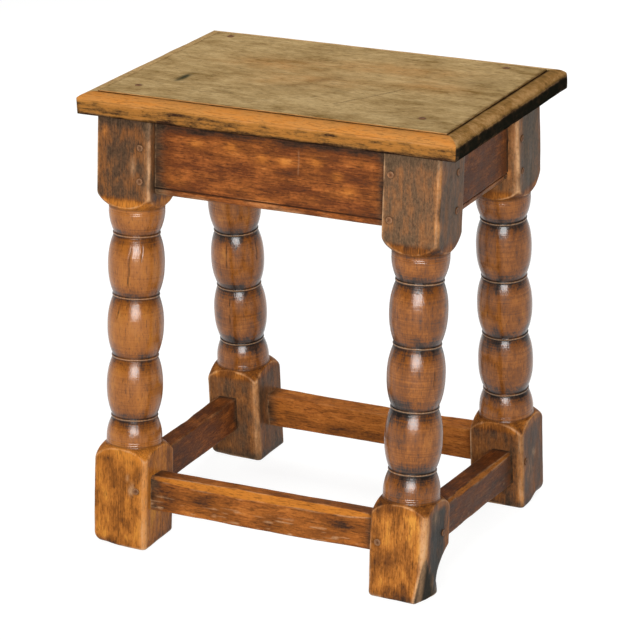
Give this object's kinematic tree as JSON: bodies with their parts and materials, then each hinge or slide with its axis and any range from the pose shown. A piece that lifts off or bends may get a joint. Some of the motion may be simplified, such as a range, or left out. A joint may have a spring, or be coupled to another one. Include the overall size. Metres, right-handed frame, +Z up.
{
  "type": "joint stool",
  "caption": "Antique oak joint stool with a moulded plank seat, bobbin-turned splayed legs, deep rails and low stretchers, all pegged mortise and tenon.",
  "frame": {"origin": "on the floor under the middle of the seat", "axes": "X along the front to the right, Y from front to back, Z up"},
  "size_m": [0.436, 0.3436, 0.5044],
  "materials": {
    "seat_oak": "waxed oak, worn and faded on top",
    "leg_oak": "waxed turned oak, glossy patina",
    "rail_oak": "waxed oak, dark patina",
    "stretcher_oak": "waxed oak, rubbed arrises",
    "peg_oak": "riven oak pegs, dark end grain"
  },
  "bodies": {
    "root": {"seat_board": "seat_oak", "leg_front_left": "leg_oak", "leg_front_right": "leg_oak", "leg_back_right": "leg_oak", "leg_back_left": "leg_oak", "rail_front": "rail_oak", "rail_back": "rail_oak", "rail_left": "rail_oak", "rail_right": "rail_oak", "stretcher_front": "stretcher_oak", "stretcher_back": "stretcher_oak", "stretcher_left": "stretcher_oak", "stretcher_right": "stretcher_oak", "rail_pegs": "peg_oak", "stretcher_pegs": "peg_oak", "seat_pegs": "peg_oak"}
  },
  "joints": []
}
